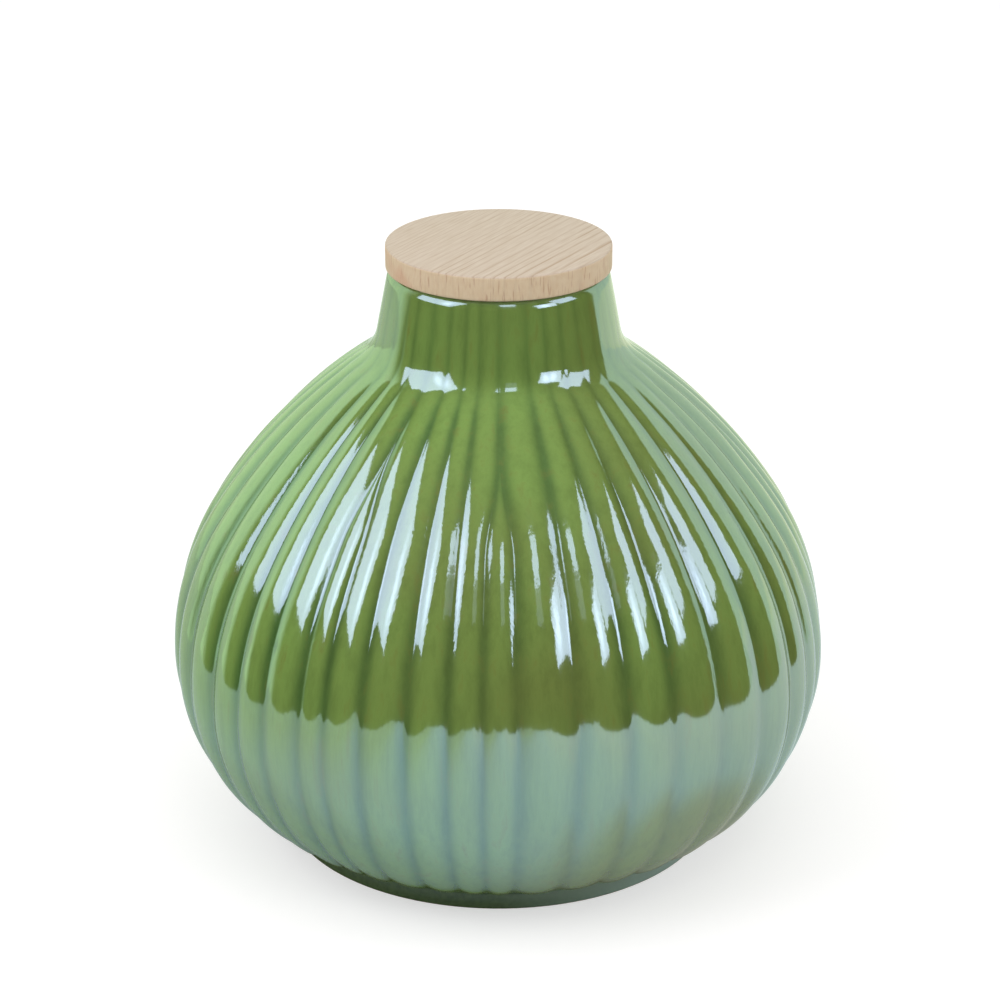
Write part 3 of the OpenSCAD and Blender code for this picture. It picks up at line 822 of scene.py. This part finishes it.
def foot_material():
    """Wiped foot: gives the eye a dull dark green band over a rim of bare, rough, pale clay."""
    made = bpy.data.materials.new("wiped_foot")
    tree = empty_tree(made)
    spot = add(tree, "TexCoord")["Object"]
    across = add(tree, "SeparateXYZ", {0: spot})
    # Real grit is about a quarter as large, which would not show at this distance.
    grit = add(tree, "TexNoise", {"Vector": spot, "Scale": 1 / GRIT_SIZE, "Detail": 4.0})
    # The wash is dark partly as painted shade, for the band lies in shade under the ribs.
    wash_and_shade = add(tree, "Mix", {0: grit[0], 6: linear("#465C3A"), 7: linear("#667E50")}, **COLOUR)
    # Painted reflection: the band turns pale teal to the right, where it mirrors the bright table.
    pale = add(tree, "MapRange", {0: across["X"], 1: 0.0, 2: REFLECTION_REACH})
    wash_and_shade = add(tree, "Mix", {0: pale[0], 6: wash_and_shade[2], 7: linear("#9EBCAE")}, **COLOUR)
    clay = add(tree, "Mix", {0: grit[0], 6: linear("#CDBFA8"), 7: linear("#E2D7C4")}, **COLOUR)
    wiped = add(tree, "Math", {0: grit[0], 1: WIPE_TEAR, 2: across["Z"]}, operation="MULTIPLY_ADD")
    wiped = add(tree, "MapRange", {0: wiped[0], 1: WIPE_LOW, 2: WIPE_HIGH})
    tint = add(tree, "Mix", {0: wiped[0], 6: clay[2], 7: wash_and_shade[2]}, **COLOUR)
    rough = add(tree, "MapRange", {0: wiped[0], 3: 0.85, 4: 0.18})
    bump = add(tree, "Bump", {"Height": grit[0], "Strength": 0.2, "Distance": GRIT_DEPTH})
    shader = add(tree, "BsdfPrincipled", {
        "Base Color": tint[2], "Roughness": rough[0], "IOR": 2.0, "Normal": bump[0]})
    add(tree, "OutputMaterial", {"Surface": shader[0]})
    return made


foot_band = foot_material()
print("foot nodes:", len(foot_band.node_tree.nodes))

# %% [markdown]
# Now the tree runs. A modifier could stay live, but the export needs a plain mesh, so the evaluated
# result is kept and the modifier is taken off again. Its inputs are set by their identifiers before the
# first evaluation. Eleven steps across a rib are as fine as the mesh may be while it stays under 200,000
# triangles.

# %% Make the jar
STEPS_ACROSS = 11
CREST_FLAT, GROOVE_SOFT = 0.1, 0.3
LOBE_RISE, UNEVENNESS = 0.5 * MM, 0.3 * MM
WANDER = math.radians(0.8)
SEED = 4.0


def baked(name, host, tree, values):
    """Runs a Geometry Nodes tree on a host object and keeps the result as a plain mesh."""
    modifier = host.modifiers.new("make", "NODES")
    modifier.node_group = tree
    for item in tree.interface.items_tree:
        if item.item_type == "SOCKET" and item.in_out == "INPUT" and item.name in values:
            modifier[item.identifier] = values[item.name]
    graph = bpy.context.evaluated_depsgraph_get()
    mesh = bpy.data.meshes.new_from_object(host.evaluated_get(graph), depsgraph=graph)
    host.modifiers.remove(modifier)
    mesh.name = name
    return show(name, mesh)


jar = baked("ribbed_jar", rhythm, jar_tree, {
    "Section": outline, "Rows": len(section), "Steps": STEPS_ACROSS, "Rise": RIB_RISE, "Groove": GROOVE,
    "Flatness": CREST_FLAT, "Softness": GROOVE_SOFT, "Lobe": LOBE_RISE, "Unevenness": UNEVENNESS,
    "Wander": WANDER, "Seed": SEED, "Finish": glaze, "Foot finish": foot_band})
for helper in (rhythm, outline):
    bpy.data.objects.remove(helper)
finishes = [finish.name for finish in jar.data.materials if finish]
print("jar:", len(jar.data.polygons), "faces in", " and ".join(finishes))

# %% [markdown]
# A closed mesh has exactly two faces at every edge and a positive volume when its faces point outwards.
# The face orientation overlay shows this to the eye, but a count is surer. Then the mesh replaces the
# packed jar and rides on its body.

# %% Check the jar and let it ride
shell = bmesh.new()
shell.from_mesh(jar.data)
open_edges = sum(1 for e in shell.edges if len(e.link_faces) != 2)
if shell.calc_volume(signed=True) < 0:
    bmesh.ops.reverse_faces(shell, faces=shell.faces)
    shell.to_mesh(jar.data)
print(open_edges, "open edges,", round(shell.calc_volume() * 1e6), "ml of clay")
shell.free()
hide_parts("jar")
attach(jar, "jar")

# %% [markdown]
# The lid was turned on a lathe from one board: a flange that lies on the rim, and below it a plug with a
# groove for the ring. The Screw modifier could spin its section too, but a short function closes the
# poles with single points as it goes, and it serves the ring as well.

# %% A lathe for the lid and the ring
TURN_STEPS = 192
ON_AXIS = 1e-6


def lathe(name, points, closed, finish):
    """Spins a half section, given in millimetres, into a closed mesh."""
    mesh = bmesh.new()
    rings = []
    for p in points:
        if p.x < ON_AXIS:
            rings.append([mesh.verts.new((0, 0, p.y * MM))])
            continue
        spins = [turned(360 * k / TURN_STEPS) * p.x * MM for k in range(TURN_STEPS)]
        rings.append([mesh.verts.new((s.x, s.y, p.y * MM)) for s in spins])
    followers = rings[1:] + rings[:1] if closed else rings[1:]
    for low, high in zip(rings, followers):
        for k in range(TURN_STEPS):
            corners = [low[k % len(low)], low[(k + 1) % len(low)]]
            corners += [high[(k + 1) % len(high)], high[k % len(high)]]
            mesh.faces.new(list(dict.fromkeys(corners)))
    bmesh.ops.recalc_face_normals(mesh, faces=mesh.faces)
    for face in mesh.faces:
        face.smooth = True
    data = bpy.data.meshes.new(name)
    mesh.to_mesh(data)
    mesh.free()
    data.materials.append(finish)
    return show(name, data)


def path(corners):
    """A section from corners, each [r, z, rounding]; the first and last stay sharp."""
    points = [Vector(c[:2]) for c in corners]
    made = [points[0]]
    for i in range(1, len(points) - 1):
        made += rounded(points[i - 1], points[i], points[i + 1], corners[i][2], 5)
    return made + [points[-1]]


print("one turn of the lathe has", TURN_STEPS, "steps")

# %% [markdown]
# The lid's sizes hang on the jar's: the plug leaves a gap in the bore, and the flange starts at the rim.
# Sandpaper breaks every edge. A Bevel modifier could round them all alike, but the flange is rounded more
# than the groove, so each corner of the section gets its own size.

# %% Section of the lid
LID_R, LID_T, LID_EDGE = 26.9, 5.9, 0.6
PLUG_R, PLUG_H, PLUG_BEVEL = BORE_R - 1.3, 12.0, 1.0
GROOVE_R, GROOVE_UP, GROOVE_GAP = PLUG_R - 2.0, 3.0, 0.12
SEAL_H = 6.0
SANDED = 0.2

plug_z, lid_top = RIM_Z - PLUG_H, RIM_Z + LID_T
groove_z = plug_z + GROOVE_UP
groove_top = groove_z + SEAL_H
lid_section = path([
    [0, plug_z, 0], [PLUG_R, plug_z, PLUG_BEVEL], [PLUG_R, groove_z - GROOVE_GAP, SANDED],
    [GROOVE_R, groove_z - GROOVE_GAP, SANDED], [GROOVE_R, groove_top + GROOVE_GAP, SANDED],
    [PLUG_R, groove_top + GROOVE_GAP, SANDED], [PLUG_R, RIM_Z, SANDED], [LID_R, RIM_Z, LID_EDGE],
    [LID_R, lid_top, LID_EDGE], [0, lid_top, 0]])
print("lid section:", len(lid_section), "points, from", round(plug_z, 1), "to", round(lid_top, 1), "mm")

# %% [markdown]
# Beech shows fine ring lines on a board's face. They are the dark late wood of each year, and they lie
# closer on one side of this lid than on the other. Wave Texture gives evenly spaced bands, so the rings
# are counted instead: their number grows with the logarithm of the distance from the tree's heart, and
# noise bends and breaks them.

# %% Year rings of the beech
HEART_OFF = 60 * MM
RINGS_PER_E = 33.0  # rings while the distance from the heart grows e times
RING_BEND, BEND_SIZE = 7 * MM, 14 * MM
BREAK_SIZE = 2.2 * MM
FACE_RINGS, EDGE_RINGS = 0.74, 0.12
PLANK_PALE, PLANK_DARK = -22 * MM, 14 * MM


def ring_lines(tree, grain, fibres, side):
    """How dark the line of a year ring is at each point, 0 to 1."""
    across = add(tree, "SeparateXYZ", {0: grain})
    bend = add(tree, "TexNoise", {"Vector": fibres, "Scale": 1 / BEND_SIZE, "Detail": 2.0})
    warped = add(tree, "Math", {0: bend[0], 1: RING_BEND, 2: across["X"]}, operation="MULTIPLY_ADD")
    heart = add(tree, "Math", {0: warped[0], 1: HEART_OFF}, operation="ADD")
    count = add(tree, "Math", {0: heart[0], 1: math.e}, operation="LOGARITHM")
    count = add(tree, "Math", {0: count[0], 1: RINGS_PER_E}, operation="MULTIPLY")
    ring = add(tree, "Math", {0: count[0]}, operation="FRACT")
    late = add(tree, "MapRange", {0: ring[0], 1: 0.62, 2: 0.93}, **SMOOTH)
    stop = add(tree, "MapRange", {0: ring[0], 1: 1.0, 2: 0.9})
    line = add(tree, "Math", {0: late[0], 1: stop[0]}, operation="MULTIPLY")
    weak = add(tree, "MapRange", {0: side, 3: FACE_RINGS, 4: EDGE_RINGS})
    plank = add(tree, "MapRange", {0: across["X"], 1: PLANK_PALE, 2: PLANK_DARK, 3: 0.4, 4: 1.0})
    weak = add(tree, "Math", {0: weak[0], 1: plank[0]}, operation="MULTIPLY")
    deep = add(tree, "Math", {0: line[0], 1: weak[0]}, operation="MULTIPLY")
    broken = add(tree, "TexNoise", {"Vector": fibres, "Scale": 1 / BREAK_SIZE, "Detail": 2.0})
    broken = add(tree, "MapRange", {0: broken[0], 1: 0.3, 2: 0.65, 3: 0.15, 4: 1.0})
    return add(tree, "Math", {0: deep[0], 1: broken[0]}, operation="MULTIPLY")[0]


print("year rings about", round(HEART_OFF / RINGS_PER_E / MM, 1), "mm apart in the middle of the lid")

# %% [markdown]
# The edge of the lid cuts the board upright. There beech shows its mark, the short brown flecks of its
# rays, and in places a faint pink blush from steaming. Both fade on the upper face, so they are
# multiplied by how far the surface turns to the side.

# %% Flecks and blush of the beech
FLECK_WIDTH, FLECK_STRETCH, FLECK_SHARE = 0.45 * MM, 0.1, 0.48
BLUSH_SIZE, BLUSH_SHARE = 9 * MM, 0.45


def edge_marks(tree, grain, side, tint):
    """Adds flecks and blush to a wood colour, on surfaces that face sideways."""
    fleck = add(tree, "Mapping", {"Vector": grain, "Scale": (1, 1, FLECK_STRETCH)})
    fleck = add(tree, "TexNoise", {"Vector": fleck[0], "Scale": 1 / FLECK_WIDTH, "Detail": 1.0})
    fleck = add(tree, "MapRange", {0: fleck[0], 1: 0.62, 2: 0.72})
    fleck = add(tree, "Math", {0: fleck[0], 1: side}, operation="MULTIPLY")
    fleck = add(tree, "Math", {0: fleck[0], 1: FLECK_SHARE}, operation="MULTIPLY")
    tint = add(tree, "Mix", {0: fleck[0], 6: tint, 7: linear("#B8825E")}, **COLOUR)
    blush = add(tree, "TexNoise", {"Vector": grain, "Scale": 1 / BLUSH_SIZE, "Detail": 1.0})
    blush = add(tree, "MapRange", {0: blush[0], 1: 0.5, 2: 0.72, 3: 0.0, 4: BLUSH_SHARE})
    blush = add(tree, "Math", {0: blush[0], 1: side}, operation="MULTIPLY")
    return add(tree, "Mix", {0: blush[0], 6: tint[2], 7: linear("#D8A684")}, **COLOUR)[2]


print("flecks", round(FLECK_WIDTH / MM, 2), "mm wide")

# %% [markdown]
# The whole finish is sanded, unoiled wood: pale, dull and slightly fibrous. An image of wood would show
# its seam at the edge of the lid, while a pattern in Object coordinates runs through the solid like real
# grain. It is turned by 30 degrees, because the board's grain runs across the lid at that angle in the
# photograph.

# %% Turned beech
GRAIN_TURN = math.radians(30)
FIBRE_STRETCH = (1, 0.08, 0.3)
FIBRE_WIDTH, FIBRE_DEPTH = 0.5 * MM, 0.05 * MM


def beech_material():
    """Beech, turned and sanded: gives the eye pale, dull wood with thin brown lines and a warmer edge."""
    made = bpy.data.materials.new("turned_beech")
    tree = empty_tree(made)
    coordinates = add(tree, "TexCoord")
    grain = add(tree, "Mapping", {"Vector": coordinates["Object"], "Rotation": (0, 0, GRAIN_TURN)})
    fibres = add(tree, "Mapping", {"Vector": grain[0], "Scale": FIBRE_STRETCH})
    # Real fibres are far finer; half a millimetre is the least that shows at this distance.
    fibre = add(tree, "TexNoise", {"Vector": fibres[0], "Scale": 1 / FIBRE_WIDTH, "Detail": 3.0})
    facing = add(tree, "SeparateXYZ", {0: coordinates["Normal"]})
    side = add(tree, "MapRange", {0: facing["Z"], 1: 0.8, 2: 0.2})
    face = add(tree, "Mix", {0: fibre[0], 6: linear("#BEAB92"), 7: linear("#DACFBC")}, **COLOUR)
    edge = add(tree, "Mix", {0: fibre[0], 6: linear("#DFC49A"), 7: linear("#EFDEBC")}, **COLOUR)
    tint = add(tree, "Mix", {0: side[0], 6: face[2], 7: edge[2]}, **COLOUR)
    lines = ring_lines(tree, grain[0], fibres[0], side[0])
    tint = add(tree, "Mix", {0: lines, 6: tint[2], 7: linear("#A68664")}, **COLOUR)
    bump = add(tree, "Bump", {"Height": fibre[0], "Strength": 0.3, "Distance": FIBRE_DEPTH})
    shader = add(tree, "BsdfPrincipled", {
        "Base Color": edge_marks(tree, grain[0], side[0], tint[2]), "Roughness": 0.6, "IOR": 1.45,
        "Normal": bump[0]})
    add(tree, "OutputMaterial", {"Surface": shader[0]})
    return made


lid = lathe("beech_lid", lid_section, False, beech_material())
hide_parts("lid")
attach(lid, "lid")
print("lid:", len(lid.data.polygons), "faces")

# %% [markdown]
# The ring on the plug is moulded from white silicone and shows only when the lid is off. Silicone lets a
# little light in. Subsurface scattering could follow that light, but on lips this small a milky colour
# with a soft sheen looks the same and costs nothing.

# %% Moulded silicone
DUST_SIZE = 2 * MM


def silicone_material():
    """Moulded silicone: gives the eye a milky white with a soft sheen and a trace of dust."""
    made = bpy.data.materials.new("moulded_silicone")
    tree = empty_tree(made)
    spot = add(tree, "TexCoord")["Object"]
    dust = add(tree, "TexNoise", {"Vector": spot, "Scale": 1 / DUST_SIZE, "Detail": 4.0})
    tint = add(tree, "Mix", {0: dust[0], 6: linear("#DEDED8"), 7: linear("#F0F0EC")}, **COLOUR)
    rough = add(tree, "MapRange", {0: dust[0], 3: 0.35, 4: 0.55})
    shader = add(tree, "BsdfPrincipled", {"Base Color": tint[2], "Roughness": rough[0], "IOR": 1.41})
    add(tree, "OutputMaterial", {"Surface": shader[0]})
    return made


silicone = silicone_material()
print("silicone nodes:", len(silicone.node_tree.nodes))

# %% [markdown]
# The ring grips the bore with two thin lips, which point upwards so that the lid goes in more easily than
# it comes out. Its section could be rounded like the lid's, but the lips are about a millimetre thick and
# hide in the neck, so plain corners are enough. The lathe closes this section from its last corner back
# to its first.

# %% Silicone ring
SEAL_TIP = BORE_R - 0.2
SEAL_LIPS = 2
LIP_ROOT, LIP_TIP, LIP_RISE = 1.4, 0.6, 0.7

seal_inner = GROOVE_R + GROOVE_GAP
seal_section = [(seal_inner, groove_z), (PLUG_R, groove_z)]
for i in range(SEAL_LIPS):
    z = groove_z + SEAL_H / SEAL_LIPS * (i + 0.5) - LIP_ROOT / 2
    seal_section += [(PLUG_R, z), (SEAL_TIP, z + LIP_RISE), (SEAL_TIP, z + LIP_RISE + LIP_TIP),
                     (PLUG_R, z + LIP_ROOT)]
seal_section += [(PLUG_R, groove_top), (seal_inner, groove_top)]
seal = lathe("silicone_ring", [Vector(corner) for corner in seal_section], True, silicone)
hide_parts("seal_ring")
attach(seal, "seal")
print("ring:", len(seal.data.polygons), "faces")
